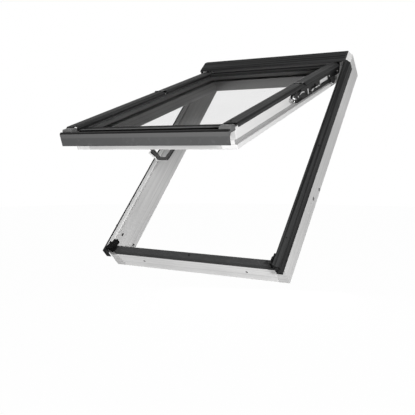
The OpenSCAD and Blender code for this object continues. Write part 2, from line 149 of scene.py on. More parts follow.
class Finish:
    """A material with one Principled shader, built up from a few named parts."""

    def __init__(self, name):
        self.material = bpy.data.materials.new(name)
        self.material.use_nodes = True
        self.tree = self.material.node_tree
        self.shader = self.tree.nodes["Principled BSDF"]

    def feed(self, socket, value):
        """Wires a shader value to a socket, or sets the socket to a plain value."""
        if isinstance(value, Sock):
            self.tree.links.new(value.socket, socket)
        else:
            socket.default_value = value

    def node(self, kind, settings=None, inputs=None, out=0):
        """Adds a node and gives back one of its outputs."""
        made = self.tree.nodes.new(kind)
        for key, value in (settings or {}).items():
            setattr(made, key, value)
        for key, value in (inputs or {}).items():
            self.feed(made.inputs[key], value)
        return Sock(self, made.outputs[out])

    def place(self):
        """The object's own coordinates, in metres."""
        return self.node("ShaderNodeTexCoord", out="Object")

    def axis(self, letter):
        """One of the object's own coordinates."""
        return self.node("ShaderNodeSeparateXYZ", None, {"Vector": self.place()}, out=letter)

    def out_from(self, turn, origin):
        """How far out a point lies from a slope that goes through the origin."""
        return (self.axis("Z") - origin.z) * math.cos(turn) - (self.axis("Y") - origin.y) * math.sin(turn)

    def up_along(self, turn, origin):
        """How far up a slope a point lies from the origin."""
        return (self.axis("Z") - origin.z) * math.sin(turn) + (self.axis("Y") - origin.y) * math.cos(turn)

    def noise(self, scale, detail, stretch=(1.0, 1.0, 1.0), turn=0.0):
        """Soft noise, stretched along axes that are turned about X to lie along a slope."""
        laid = self.node("ShaderNodeMapping", {"vector_type": "TEXTURE"},
                         {"Vector": self.place(), "Rotation": (turn, 0.0, 0.0), "Scale": stretch})
        inputs = {"Vector": laid, "Scale": scale, "Detail": detail}
        return self.node("ShaderNodeTexNoise", None, inputs, out="Fac")

    def between(self, value, low, high):
        """A smooth step from 0 at low to 1 at high."""
        return self.node("ShaderNodeMapRange", {"interpolation_type": "SMOOTHSTEP"},
                         {"Value": value, "From Min": low, "From Max": high})

    def blend(self, factor, first, second):
        """A colour that goes from first to second."""
        return self.node("ShaderNodeMix", {"data_type": "RGBA"}, {0: factor, 6: first, 7: second}, out=2)

    def bump(self, height, distance, strength):
        """A surface that rises with a value."""
        inputs = {"Height": height, "Distance": distance, "Strength": strength}
        return self.node("ShaderNodeBump", None, inputs)

    def set(self, **inputs):
        """Sets sockets of the shader: an underscore in a name stands for a space."""
        for key, value in inputs.items():
            self.feed(self.shader.inputs[key.replace("_", " ")], value)


def grey(value, warm=0.0):
    """A neutral colour, a little warmer or cooler."""
    return (value * (1.0 + warm), value, value * (1.0 - warm), 1.0)


print("finish class ready")

# %% [markdown]
# ## White timber
# Frame and sash are pine under several coats of white paint, so the grain only shows as a faint ripple.
# One colour would look like plastic. Here a noise that is stretched along the slope makes the ripple, a broad
# noise shifts the tone, and the fine lines of the planed profile are painted shade: soft dark steps across
# the thickness.
# The rebate at the front of the jambs is painted brighter, as painted light, and starts at a painted
# highlight on a ridge.
# Lines and ridge are worked out from the height above the frame's back, or above the hinge line for the
# sash, so they run true along every timber. Each timber catches the lamps in its own way, so each has its
# own white, set to come out as in the photograph: lit and shaded copies of one paint, which carry painted
# light and shade.

# %% Painted timber
GRAIN_NOISE = (34.0, 3.0)
TONE_NOISE = (4.0, 1.0)
GRAIN_ALONG = (0.6, 14.0, 0.6)
GRAIN_ACROSS = (14.0, 0.6, 0.6)
GRAIN_SHARE = 0.55
TONE_SHARE = 0.45
SHADE_STEP = (0.32, 0.68)
PAINT_TINT = 0.004
LINE_WIDTH = 0.0022
LINE_CORE = 0.3
LINE_SHARE = 0.3
LINE_SHADE = 0.4
REBATE_PAINTED_LIGHT = 0.92
REBATE_LIGHT_SHARE = 0.5
RIDGE_HIGHLIGHT = 0.96


def timber_finish(name, turn, origin, run, white, streak, lines=(), ridge=None):
    """White paint on timber that runs one way, with lines of painted shade and, at a ridge, a painted
    highlight and painted light above it.
    """
    finish = Finish(name)
    grain = finish.noise(*GRAIN_NOISE, run, turn)
    tone = finish.noise(*TONE_NOISE)
    height = finish.out_from(turn, origin)
    shade = finish.between(grain * GRAIN_SHARE + tone * TONE_SHARE, *SHADE_STEP)
    paint = finish.blend(shade, grey(white * (1.0 - streak), PAINT_TINT), grey(white, PAINT_TINT))
    for line in lines:
        # Painted shade in the grooves of the planed profile.
        groove_shade = 1.0 - finish.between(abs(height - line), LINE_WIDTH * LINE_CORE, LINE_WIDTH)
        paint = finish.blend(groove_shade * LINE_SHARE, paint, grey(white * LINE_SHADE))
    if ridge is not None:
        # Painted light on the rebate, and a painted highlight along the ridge.
        rebate = finish.between(height, ridge - LINE_WIDTH, ridge)
        ridge_highlight = 1.0 - finish.between(abs(height - ridge), LINE_WIDTH, LINE_WIDTH * 2.0)
        paint = finish.blend(rebate * REBATE_LIGHT_SHARE, paint, grey(REBATE_PAINTED_LIGHT, PAINT_TINT))
        paint = finish.blend(ridge_highlight, paint, grey(RIDGE_HIGHLIGHT, PAINT_TINT))
    finish.set(Base_Color=paint, Roughness=0.38 + grain * 0.16, Specular_IOR_Level=0.3)
    finish.set(Normal=finish.bump(grain, distance=0.0003, strength=0.4))
    return finish.material


print("profile lines are", LINE_WIDTH, "m wide")

# %% The four timbers
JAMB_LINES = (0.021, 0.043)
JAMB_RIDGE = 0.118
STILE_LINES = (-0.060, -0.076)
SILL_LINES = (0.030, 0.062)
sill_back = Vector(mounts["sill_back"]["pos_m"])

# The four whites are lit and shaded copies of one white paint; the rails, darkest, carry painted shade.
jamb_timber = timber_finish("jamb_timber", pitch, sill_back, GRAIN_ALONG, white=0.72, streak=0.18,
                            lines=JAMB_LINES, ridge=JAMB_RIDGE)
sill_timber = timber_finish("sill_timber", pitch, sill_back, GRAIN_ACROSS, white=0.90, streak=0.18,
                            lines=SILL_LINES)
stile_timber = timber_finish("stile_timber", slope, hinge, GRAIN_ALONG, white=0.78, streak=0.08,
                             lines=STILE_LINES)
rail_timber_shaded = timber_finish("rail_timber_shaded", slope, hinge, GRAIN_ACROSS, white=0.58, streak=0.08)
print("timber finishes:", jamb_timber.name, sill_timber.name, stile_timber.name, rail_timber_shaded.name)

# %% [markdown]
# ## Lacquered sheet
# The covers are rolled metal with a dark satin lacquer. Real lacquer is never quite even: it has a fine
# orange peel, a broad drift in gloss, and dust that dulls what lies flat.
# Two noises drive the roughness and the bump, and a third lifts the colour a little, as dust does.
# Long covers also keep faint bands from the rolling mill: a noise that is drawn out along the sheet.

# %% Dark lacquer
PEEL_NOISE = (900.0, 1.0)
DRIFT_NOISE = (7.0, 3.0)
DUST_NOISE = (60.0, 5.0)
DUST_STEP = (0.52, 0.75)
DUST_SHARE = 0.12
DUST_LIFT = 3.0
ROLL_NOISE = (80.0, 2.0)
ROLL_STEP = (0.35, 0.65)
ROLL_RANGE = (0.45, 1.8)
DRIFT_RANGE = (0.85, 1.15)
LACQUER_TINT = -0.01


def lacquer_finish(name, base, rough, gloss, rolled=None, edges=None):
    """Satin lacquer on sheet. Rolled is the stretch and turn of its bands, and edges paints black lips,
    painted shade and painted highlights along its edges.
    """
    finish = Finish(name)
    peel = finish.noise(*PEEL_NOISE)
    drift = finish.noise(*DRIFT_NOISE)
    dust = finish.between(finish.noise(*DUST_NOISE), *DUST_STEP)
    tone = drift
    low, high = DRIFT_RANGE
    if rolled:
        tone = finish.between(finish.noise(*ROLL_NOISE, *rolled), *ROLL_STEP)
        low, high = ROLL_RANGE
    colour = finish.blend(tone, grey(base * low, LACQUER_TINT), grey(base * high, LACQUER_TINT))
    colour = finish.blend(dust * DUST_SHARE, colour, grey(base * DUST_LIFT))
    if edges:
        colour = edges(finish, colour)
    finish.set(Base_Color=colour, Roughness=rough + drift * 0.12, Specular_IOR_Level=gloss)
    finish.set(Normal=finish.bump(peel, distance=0.00005, strength=0.4))
    return finish.material


print("lacquer helper ready")

# %% [markdown]
# ## Painted light and shade on the edges of the sash front
# The sash front has a black band along its top, a painted shadow of the gutter, and a lighter band below it,
# a painted highlight on its rounded top. The bead above it carries a black lip where it meets the glass, and
# its wall in the gutter is black too, as painted shade. The lip lies flush with the metal beside it, so it is
# painted rather than a strip of its own.
# Each edge is a soft step in one of the two measures of the slope: out from it, or up along it.

# %% Painted edges
EDGE_BLACK = 0.006
EDGE_SOFT = 0.0004
FRONT_CROWN = -0.0160
FRONT_HIGHLIGHT_BAND = (-0.0328, -0.0272)
HIGHLIGHT_GREY = 0.108
LIP_WIDTH = 0.026
BEAD_TOP = -0.014


def start_on_sash(name):
    """How far down from the hinge line, along the sash, a solid starts."""
    solid = nodes[name]
    places = [solid.matrix_world @ corner.co - hinge for corner in solid.data.vertices]
    return min(-(sash_turn.transposed() @ place).y for place in places)


def front_highlight_and_shadow(finish, colour):
    """A painted highlight band and a painted shadow of the gutter at the top of the sash front."""
    height = finish.out_from(slope, hinge)
    # Painted highlight: a lighter band on the rounded top of the front.
    colour = finish.blend(finish.between(height, *FRONT_HIGHLIGHT_BAND), colour, grey(HIGHLIGHT_GREY))
    # Painted shadow of the gutter: black along the top edge of the front.
    gutter_shadow = finish.between(height, FRONT_CROWN - EDGE_SOFT, FRONT_CROWN + EDGE_SOFT)
    return finish.blend(gutter_shadow, colour, grey(EDGE_BLACK))


def bead_lip_and_shade(finish, colour):
    """A black lip beside the glass, and painted shade on the wall below the top of the bead."""
    lip = finish.between(finish.up_along(slope, hinge), -bead_lip - EDGE_SOFT, -bead_lip + EDGE_SOFT)
    # Painted shade: the wall below the top of the bead is black.
    wall = finish.between(BEAD_TOP - finish.out_from(slope, hinge), EDGE_SOFT, EDGE_SOFT * 3.0)
    return finish.blend(lip.math("MAXIMUM", wall), colour, grey(EDGE_BLACK))


bead_lip = start_on_sash("bottom_bead") + LIP_WIDTH
print("black lip of the bead ends", round(bead_lip, 4), "m down the sash")

# %% The seven lacquers
ROLLED_ALONG = (0.6, 60.0, 0.6)
ROLLED_ACROSS = (60.0, 0.6, 0.6)
sash_bands = (ROLLED_ALONG, slope)
jamb_bands = (ROLLED_ALONG, pitch)
hood_bands = (ROLLED_ACROSS, pitch)

cover_lacquer = lacquer_finish("cover_lacquer", base=0.024, rough=0.42, gloss=0.03, rolled=sash_bands)
jamb_lacquer = lacquer_finish("jamb_lacquer", base=0.024, rough=0.42, gloss=0.03, rolled=jamb_bands)
hood_lacquer = lacquer_finish("hood_lacquer", base=0.026, rough=0.42, gloss=0.03, rolled=hood_bands)
sill_lacquer = lacquer_finish("sill_lacquer", base=0.052, rough=0.40, gloss=0.12)
# The bead and the sash front carry the covers' dark lacquer; their paler bases are painted light.
bead_lacquer_lit_and_shaded = lacquer_finish("bead_lacquer_lit_and_shaded", base=0.150, rough=0.40, gloss=0.01, edges=bead_lip_and_shade)
front_lacquer_lit_and_shaded = lacquer_finish("front_lacquer_lit_and_shaded", base=0.080, rough=0.40, gloss=0.12, edges=front_highlight_and_shadow)
arm_lacquer = lacquer_finish("arm_lacquer", base=0.005, rough=0.42, gloss=0.10)
lacquers = (cover_lacquer, jamb_lacquer, hood_lacquer, sill_lacquer, bead_lacquer_lit_and_shaded, front_lacquer_lit_and_shaded, arm_lacquer)
print("lacquers:", [lacquer.name for lacquer in lacquers])

# %% [markdown]
# ## Moulded plastic and rubber
# Gutter caps and the handle are moulded, with the fine spark texture of a steel mould.
# The seals are soft rubber: the one in the groove of the stile is pale and ribbed, with painted highlight and
# shade across the ribs.
# The spacer between the panes has to be pale as well, because the coated glass takes most of its light.
# A voronoi or a noise could make the spark texture. Noise is cheaper and has no cell edges.

# %% Plastic and rubber
SPARK_DETAIL = 2.0
MOULD_NOISE = (11.0, 2.0)
MOULD_RANGE = (0.88, 1.12)
RIB_PITCH = 0.0042
RUBBER_NOISE = (15.0, 2.0)
RIB_SHADE_RANGE = (0.55, 1.15)
RIB_SHADE_SHARE = 0.8
RUBBER_SHARE = 0.2


def moulded_finish(name, base, rough, spark_scale=650.0):
    """Plastic from a spark-eroded mould."""
    finish = Finish(name)
    spark = finish.noise(spark_scale, SPARK_DETAIL)
    drift = finish.noise(*MOULD_NOISE)
    low, high = MOULD_RANGE
    finish.set(Base_Color=finish.blend(drift, grey(base * low), grey(base * high)))
    finish.set(Roughness=rough + spark * 0.15, Specular_IOR_Level=0.35)
    finish.set(Normal=finish.bump(spark, distance=0.00012, strength=0.6))
    return finish.material


def ribbed_rubber(name, base):
    """Pale seal rubber with fine lengthwise ribs, measured out from the sash, and painted highlight and shade
    across each rib.
    """
    finish = Finish(name)
    wave = finish.out_from(slope, hinge) * (2.0 * math.pi / RIB_PITCH)
    ribs = wave.math("SINE") * 0.5 + 0.5  # from -1 and 1 to 0 and 1
    drift = finish.noise(*RUBBER_NOISE)
    low, high = RIB_SHADE_RANGE
    # Painted highlight and shade: the colour follows the ribs as well as the bump.
    tone = ribs * RIB_SHADE_SHARE + drift * RUBBER_SHARE
    finish.set(Base_Color=finish.blend(tone, grey(base * low), grey(base * high)))
    finish.set(Roughness=0.55 + drift * 0.15)
    finish.set(Normal=finish.bump(ribs, distance=0.0008, strength=0.8))
    return finish.material


black_plastic = moulded_finish("black_plastic", base=0.008, rough=0.34)
cap_plastic = moulded_finish("cap_plastic", base=0.095, rough=0.40)
black_rubber = moulded_finish("black_rubber", base=0.090, rough=0.55, spark_scale=400.0)
spacer_grey = moulded_finish("spacer_grey", base=0.62, rough=0.45, spark_scale=300.0)
# Pale plastic for the painted highlights at the split in the side covers.
pale_highlight_plastic = moulded_finish("pale_highlight_plastic", base=0.34, rough=0.40)
pale_seal = ribbed_rubber("pale_seal", base=0.42)
print("moulded finishes ready")

# %% [markdown]
# ## Zinc plated steel
# Hinges, shoes, leaf springs and the handle's plate are pressed steel with a bright zinc skin.
# The skin has a fine spangle, so the roughness wanders and the metal shows a faint patchy sheen.
# Plugs, coil springs and the screws in the caps have gone dull, so a darker copy of the finish serves them.

# %% Zinc
SPANGLE_SCALE = 160.0
SPANGLE_SHADE = 0.82
RUB_NOISE = (220.0, 3.0)
RUB_STRETCH = (1.0, 8.0, 1.0)


def zinc_finish(name, base):
    """Zinc on pressed steel, bright or dull."""
    finish = Finish(name)
    inputs = {"Vector": finish.place(), "Scale": SPANGLE_SCALE}
    spangle = finish.node("ShaderNodeTexVoronoi", None, inputs, out="Distance")
    rub = finish.noise(*RUB_NOISE, RUB_STRETCH, slope)
    finish.set(Base_Color=finish.blend(spangle, grey(base), grey(base * SPANGLE_SHADE)), Metallic=1.0)
    finish.set(Roughness=0.26 + rub * 0.18)
    finish.set(Normal=finish.bump(rub, distance=0.00004, strength=0.5))
    return finish.material


zinc_steel = zinc_finish("zinc_steel", base=0.66)
dull_steel = zinc_finish("dull_steel", base=0.22)
print("zinc finishes:", zinc_steel.name, dull_steel.name)

# %% [markdown]
# ## Glass
# The sealed unit is two panes. Each face holds back only a little of what lies behind it.
# A transmission shader would be right for a thick block, but a thin pane bends nothing that the eye can see.
# A pane that is mostly clear, with a thin film of drifting dust, is closer.
# Roof glass also has a coat against the sun: the eye sees through it, but it holds back most lamplight,
# so what lies under the sash is in its shade. Light Path tells the two kinds of ray apart.

# %% Coated panes
SUN_COAT = 0.6
FILM_NOISE = (9.0, 4.0)
FILM_RANGE = (0.012, 0.024)
FILM_TINT = -0.04
DUSTY_HOLD = 0.4
EVEN_HOLD = 0.8


def pane_finish(name, hold, shine):
    """Glass that is clear to the eye and holds back the light that falls on it."""
    finish = Finish(name)
    film = finish.noise(*FILM_NOISE)
    lamp_ray = finish.node("ShaderNodeLightPath", out="Is Shadow Ray")
    bounced_ray = finish.node("ShaderNodeLightPath", out="Is Diffuse Ray")
    coat = lamp_ray.math("MAXIMUM", bounced_ray) * SUN_COAT
    low, high = FILM_RANGE
    finish.set(Base_Color=finish.blend(film, grey(low, FILM_TINT), grey(high, FILM_TINT)))
    finish.set(Alpha=film * (hold * DUSTY_HOLD) + hold * EVEN_HOLD + coat)
    finish.set(Roughness=0.02 + film * 0.03, Specular_IOR_Level=shine)
    return finish.material


outer_glass = pane_finish("outer_glass", hold=0.05, shine=0.005)
inner_glass = pane_finish("inner_glass", hold=0.05, shine=0.0)
print("glass ready")

# %% [markdown]
# ## Dress the solids
# Every solid keeps its shape. A Weld modifier first joins its loose triangles, then a Bevel rounds the edges,
# because a real edge is never sharp and the thin bright line along it is what the eye reads as an edge.
# Timber gets a wider round than sheet metal, and glass only a hair.
# A Weighted Normal comes last. Without it the large flat faces borrow shading from the rounds beside them.
# Most finishes go by the slot of a solid, and some solids have a finish of their own.

# %% Finishes by slot and by name
FINISHES = {
    "timber": stile_timber, "cover": cover_lacquer, "cap": cap_plastic, "black_plastic": black_plastic,
    "black_metal": arm_lacquer, "steel": zinc_steel, "spacer": spacer_grey, "gasket": black_rubber,
    "seal": pale_seal, "glass": outer_glass,
}
OWN_FINISH = {
    "jamb_left": jamb_timber, "jamb_right": jamb_timber, "head_rail": sill_timber, "sill_rail": sill_timber,
    "top_rail": rail_timber_shaded, "bottom_rail": rail_timber_shaded,
    "jamb_cover_left": jamb_lacquer, "jamb_cover_right": jamb_lacquer,
    "head_hood": hood_lacquer, "top_cover": hood_lacquer, "sill_cover": sill_lacquer,
    "front_profile": front_lacquer_lit_and_shaded, "bottom_bead": bead_lacquer_lit_and_shaded, "inner_pane": inner_glass,
    "sill_block_left": arm_lacquer, "sill_block_right": arm_lacquer,
}
print("finishes for", len(FINISHES), "slots and", len(OWN_FINISH), "single solids")

# %% Edges
EDGE_ROUND = {"timber": 0.0022, "cover": 0.0007, "cap": 0.0020, "black_plastic": 0.0014, "glass": 0.0004}
USUAL_ROUND = 0.0006
EDGE_ANGLE = math.radians(32.0)
EDGE_STEPS = 2
WELD_REACH = 0.00001
NORMAL_WEIGHT = 90
slots = {part["node"]: part["material_slot"] for part in record["subparts"]}

for name, solid in nodes.items():
    slot = slots[name]
    solid.data.materials.clear()
    solid.data.materials.append(OWN_FINISH.get(name, FINISHES[slot]))
    weld = solid.modifiers.new("join", "WELD")
    weld.merge_threshold = WELD_REACH
    edge = solid.modifiers.new("edge", "BEVEL")
    edge.width = EDGE_ROUND.get(slot, USUAL_ROUND)
    edge.segments = EDGE_STEPS
    edge.limit_method = "ANGLE"
    edge.angle_limit = EDGE_ANGLE
    edge.harden_normals = True
    even = solid.modifiers.new("even", "WEIGHTED_NORMAL")
    even.weight = NORMAL_WEIGHT
print("dressed", len(nodes), "solids")

# %% [markdown]
# ## Screws and plugs
# Small screws hold the covers to the timber, and plugs close the holes of the frame's own joints.
# A head could be a plain cylinder, but the cross in it is what makes it a screw.
# So it is a stack of rings: the lower ones make the round head, and the last one sinks in as a cross.

# %% One screw head
HEAD_SIDES = 24
HEAD_RINGS = ((1.0, 0.0), (0.98, 0.45), (0.82, 0.85), (0.55, 1.0))
WELL_REACH = 0.5
WELL_DEPTH = 0.35


def head_ring(shape, reaches, height):
    """Adds a ring of corners at one height, each at its own reach from the middle."""
    ring = []
    for k, reach in enumerate(reaches):
        turn = 2.0 * math.pi * k / len(reaches)
        ring.append(shape.verts.new((reach * math.cos(turn), reach * math.sin(turn), height)))
    return ring


def screw_head(name, radius, height, slot_share):
    """A low round head with a cross cut into it, standing on the XY plane."""
    shape = bmesh.new()
    rings = [head_ring(shape, [radius * share] * HEAD_SIDES, height * lift) for share, lift in HEAD_RINGS]
    arms = [1.0 if k % (HEAD_SIDES // 4) in (0, 1) else slot_share for k in range(HEAD_SIDES)]
    rings.append(head_ring(shape, [radius * WELL_REACH * arm for arm in arms], height * WELL_DEPTH))
    for lower, upper in zip(rings, rings[1:]):
        for k in range(HEAD_SIDES):
            shape.faces.new((lower[k], lower[k - 1], upper[k - 1], upper[k]))
    shape.faces.new(rings[-1])
    bmesh.ops.recalc_face_normals(shape, faces=shape.faces)
    mesh = bpy.data.meshes.new(name)
    shape.to_mesh(mesh)
    shape.free()
    return bpy.data.objects.new(name, mesh)


cover_head = screw_head("cover_head", radius=0.0040, height=0.0016, slot_share=0.45)
plug_head = screw_head("plug_head", radius=0.0045, height=0.0008, slot_share=0.9)
print("heads with", len(cover_head.data.polygons), "faces")

# %% [markdown]
# ## Copies of a head
# The heads are alike and only their places differ, so Geometry Nodes copies one head onto a set of points.
# Linked duplicates would do it too, but one tree keeps all the screws of a kind in one piece.
# Each point carries the way out of its surface, and the head turns to face it.

# %% The tree that copies a head onto points


def copy_tree(name):
    """A node tree that puts a head on every point, turned to the point's way out."""
    tree = bpy.data.node_groups.new(name, "GeometryNodeTree")
    face = tree.interface
    face.new_socket("Geometry", in_out="INPUT", socket_type="NodeSocketGeometry")
    face.new_socket("Head", in_out="INPUT", socket_type="NodeSocketObject")
    face.new_socket("Size", in_out="INPUT", socket_type="NodeSocketFloat")
    face.new_socket("Finish", in_out="INPUT", socket_type="NodeSocketMaterial")
    face.new_socket("Geometry", in_out="OUTPUT", socket_type="NodeSocketGeometry")
    given = tree.nodes.new("NodeGroupInput")
    result = tree.nodes.new("NodeGroupOutput")
    points = tree.nodes.new("GeometryNodeMeshToPoints")
    out = tree.nodes.new("GeometryNodeInputNamedAttribute")
    aim = tree.nodes.new("FunctionNodeAlignEulerToVector")
    head = tree.nodes.new("GeometryNodeObjectInfo")
    copies = tree.nodes.new("GeometryNodeInstanceOnPoints")
    real = tree.nodes.new("GeometryNodeRealizeInstances")
    paint = tree.nodes.new("GeometryNodeSetMaterial")
    out.data_type = "FLOAT_VECTOR"
    out.inputs["Name"].default_value = "out"
    aim.axis = "Z"
    wires = (
        (given.outputs["Geometry"], points.inputs["Mesh"]),
        (points.outputs["Points"], copies.inputs["Points"]),
        (given.outputs["Head"], head.inputs["Object"]),
        (head.outputs["Geometry"], copies.inputs["Instance"]),
        (out.outputs["Attribute"], aim.inputs["Vector"]),
        (aim.outputs["Rotation"], copies.inputs["Rotation"]),
        (given.outputs["Size"], copies.inputs["Scale"]),
        (copies.outputs["Instances"], real.inputs["Geometry"]),
        (real.outputs["Geometry"], paint.inputs["Geometry"]),
        (given.outputs["Finish"], paint.inputs["Material"]),
        (paint.outputs["Geometry"], result.inputs["Geometry"]),
    )
    for start, end in wires:
        tree.links.new(start, end)
    return tree


head_tree = copy_tree("heads_on_points")
print("copy tree with", len(head_tree.nodes), "nodes")

# %% Heads as plain meshes


def set_heads(name, body, spots, head, finish, size=1.0):
    """Puts a head on each (place, way out) spot, and makes the result a plain mesh that rides on a body."""
    cloud = bpy.data.meshes.new(name + "_points")
    cloud.from_pydata([place for place, out in spots], [], [])
    ways = cloud.attributes.new("out", "FLOAT_VECTOR", "POINT")
    for item, (place, out) in zip(ways.data, spots):
        item.vector = out
    carrier = bpy.data.objects.new(name + "_points", cloud)
    bpy.context.collection.objects.link(carrier)
    copies = carrier.modifiers.new("heads", "NODES")
    copies.node_group = head_tree
    keys = {item.name: item.identifier for item in head_tree.interface.items_tree if item.in_out == "INPUT"}
    copies[keys["Head"]] = head
    copies[keys["Size"]] = size
    copies[keys["Finish"]] = finish
    graph = bpy.context.evaluated_depsgraph_get()
    mesh = bpy.data.meshes.new_from_object(carrier.evaluated_get(graph))
    bpy.data.objects.remove(carrier)
    piece = bpy.data.objects.new(name, mesh)
    bpy.context.collection.objects.link(piece)
    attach(piece, body)
    print(name, "has", len(spots), "heads and", len(mesh.polygons), "faces")


print("helper for heads ready")

# %% [markdown]
# ## Where the frame's screws sit
# The cover screws are spaced along the sloping bands of the jambs, and one sits in the middle of the sill.
# Plugs close the holes in the sill's face and in the inner faces of the jambs, which lean a little.
# Two more on the outer side of each jamb stand for the dark marks that the photograph shows there.
# A place is given across the window, up the roof and out from the back, in metres.

# %% Frame screws and plugs
SIDES = (-1.0, 1.0)
SILL_SCREW = (0.0, 0.012, 0.100)
BAND_ACROSS = 0.381
BAND_OUT = 0.1305
BAND_SCREWS = (0.106, 0.575, 1.040)
BAND_LEAN = math.atan2(0.018, 0.019)
SILL_PLUG = (0.230, 0.0, 0.044)
JAMB_FOOT = 0.345
JAMB_LEAN = math.atan2(0.017, 0.112)
INNER_PLUGS = ((0.091, 0.016), (0.086, 0.093))
OUTER_PLUGS = ((0.445, 0.012), (0.374, 0.036))
JAMB_PLUG_SIZE = 1.7
jamb_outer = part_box("jamb_right")[1].x
roof_out = roof_turn @ Vector((0.0, 0.0, 1.0))
roof_down = roof_turn @ Vector((0.0, -1.0, 0.0))


def leaning_out(side, lean):
    """The way out of a face that looks to one side and leans up, or down where the lean is negative."""
    return roof_turn @ Vector((side * math.cos(lean), 0.0, math.sin(lean)))


screw_spots = [(on_frame(*SILL_SCREW), roof_out)]
sill_spots = []
jamb_spots = []
for side in SIDES:
    for up_roof in BAND_SCREWS:
        screw_spots.append((on_frame(side * BAND_ACROSS, up_roof, BAND_OUT), leaning_out(side, BAND_LEAN)))
    across, up_roof, out = SILL_PLUG
    sill_spots.append((on_frame(side * across, up_roof, out), roof_down))
    for up_roof, out in INNER_PLUGS:
        face = JAMB_FOOT + out * math.tan(JAMB_LEAN)
        jamb_spots.append((on_frame(side * face, up_roof, out), leaning_out(-side, -JAMB_LEAN)))
    for up_roof, out in OUTER_PLUGS:
        jamb_spots.append((on_frame(side * jamb_outer, up_roof, out), leaning_out(side, 0.0)))
set_heads("frame_screws", "frame", screw_spots, cover_head, cover_lacquer)
set_heads("sill_plugs", "frame", sill_spots, plug_head, dull_steel)
set_heads("jamb_plugs", "frame", jamb_spots, plug_head, dull_steel, JAMB_PLUG_SIZE)

# %% [markdown]
# ## Where the sash's screws sit
# One screw holds the foot of each side cover, and a smaller one holds each end cap of the gutter.
# They face straight out of the sash, so all of them share one way out.

# %% Sash screws
SASH_SCREW = (0.318, 1.066, 0.0)
CAP_SCREW = (0.322, 1.104, -0.003)
CAP_SCREW_SIZE = 0.7
sash_out = sash_turn @ Vector((0.0, 0.0, 1.0))


def both_sides(across, down, out):
    """The same spot on the left and the right of the sash, facing out of it."""
    return [(on_sash(side * across, down, out), sash_out) for side in SIDES]


set_heads("sash_screws", "sash", both_sides(*SASH_SCREW), cover_head, cover_lacquer)
set_heads("cap_screws", "sash", both_sides(*CAP_SCREW), cover_head, dull_steel, CAP_SCREW_SIZE)

# %% [markdown]
# ## Thin pressed parts
# The arm beside the sash carries small bright parts: a leaf spring under the pivot, a stop pin, a short link.
# They are thin and lie flat on the face of the arm. Boxes would be too plain and sculpting too much work,
# so each is an outline drawn on the sash and given a thickness, with a fine round on every edge.

# %% Pieces from outlines
SLAB_ROUND = 0.0005


def show(name, mesh, finish):
    """Gives a mesh its finish and puts it in the scene."""
    mesh.materials.clear()
    mesh.materials.append(finish)
    piece = bpy.data.objects.new(name, mesh)
    bpy.context.collection.objects.link(piece)
    print(name, "has", len(mesh.polygons), "faces")
    return piece


def arm_piece(name, mesh, finish):
    """Shows a mesh and lets it ride on the arms."""
    piece = show(name, mesh, finish)
    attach(piece, "hanger")


def rounded_mesh(name, prisms, edge_round):
    """Makes one mesh of prisms, each between a near and a far ring of places, with rounded edges."""
    shape = bmesh.new()
    for near, far in prisms:
        rings = [[shape.verts.new(place) for place in ring] for ring in (near, far)]
        for ring in rings:
            shape.faces.new(ring)
        for k in range(len(near)):
            shape.faces.new((rings[0][k - 1], rings[0][k], rings[1][k], rings[1][k - 1]))
    bmesh.ops.recalc_face_normals(shape, faces=shape.faces)
    bmesh.ops.bevel(shape, geom=shape.edges[:], offset=edge_round, segments=EDGE_STEPS, affect="EDGES",
                    profile=0.5)
    mesh = bpy.data.meshes.new(name)
    shape.to_mesh(mesh)
    shape.free()
    return mesh


def arm_slabs(name, outlines, inner, outer, finish):
    """Makes slabs on both arms from outlines of (down, out) points on the sash, between two places across."""
    prisms = []
    for side in SIDES:
        for outline in outlines:
            near = [on_sash(side * inner, down, out) for down, out in outline]
            far = [on_sash(side * outer, down, out) for down, out in outline]
            prisms.append((near, far))
    arm_piece(name, rounded_mesh(name, prisms, SLAB_ROUND), finish)


print("outline helpers ready, edges rounded by", SLAB_ROUND, "m")

# %% Leaf springs and stop pins
arm_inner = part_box("support_arm_right")[0].x
arm_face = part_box("support_arm_right")[1].x
LEAF_STEPS = 10
LEAF_START = 0.484
LEAF_LENGTH = 0.050
LEAF_TOP = -0.034
LEAF_FOOT = -0.037
LEAF_BOW = 0.005
FOOT_BOW_SHARE = 0.7
LEAF_THICK = 0.004
PIN_THICK = 0.0045

leaf_top = []
leaf_foot = []
for k in range(LEAF_STEPS + 1):
    share = k / LEAF_STEPS
    down = LEAF_START + LEAF_LENGTH * share
    bow = LEAF_BOW * math.sin(math.pi * share)
    leaf_top.append((down, LEAF_TOP + bow))
    leaf_foot.append((down, LEAF_FOOT + bow * FOOT_BOW_SHARE))
leaf = leaf_top + leaf_foot[::-1]
arm_slabs("leaf_springs", [leaf], arm_face, arm_face + LEAF_THICK, zinc_steel)

stop_pin = [(0.440, -0.031), (0.446, -0.029), (0.447, -0.052), (0.441, -0.054)]
short_link = [(0.372, -0.046), (0.376, -0.041), (0.404, -0.045), (0.404, -0.051)]
arm_slabs("stop_pins", [stop_pin, short_link], arm_face, arm_face + PIN_THICK, zinc_steel)

# %% [markdown]
# ## Dark parts of the arms
# Near the hinge the arm carries a moulded block, and a channel of sheet metal runs along its lower edge.
# Both are slabs again. They fill the width of the arm, and the block stands a little proud of it.

# %% Hinge blocks and arm channels
BLOCK_PROUD = 0.003

hinge_block = [(0.090, -0.045), (0.158, -0.045), (0.150, -0.066), (0.118, -0.078), (0.098, -0.072)]
arm_slabs("hinge_blocks", [hinge_block], arm_inner, arm_face + BLOCK_PROUD, black_plastic)

channel_top = [(0.100, -0.046), (0.470, -0.046), (0.500, -0.052), (0.560, -0.052)]
channel_foot = [(0.560, -0.0625), (0.100, -0.0625)]
arm_slabs("arm_channels", [channel_top + channel_foot], arm_inner, arm_face, arm_lacquer)

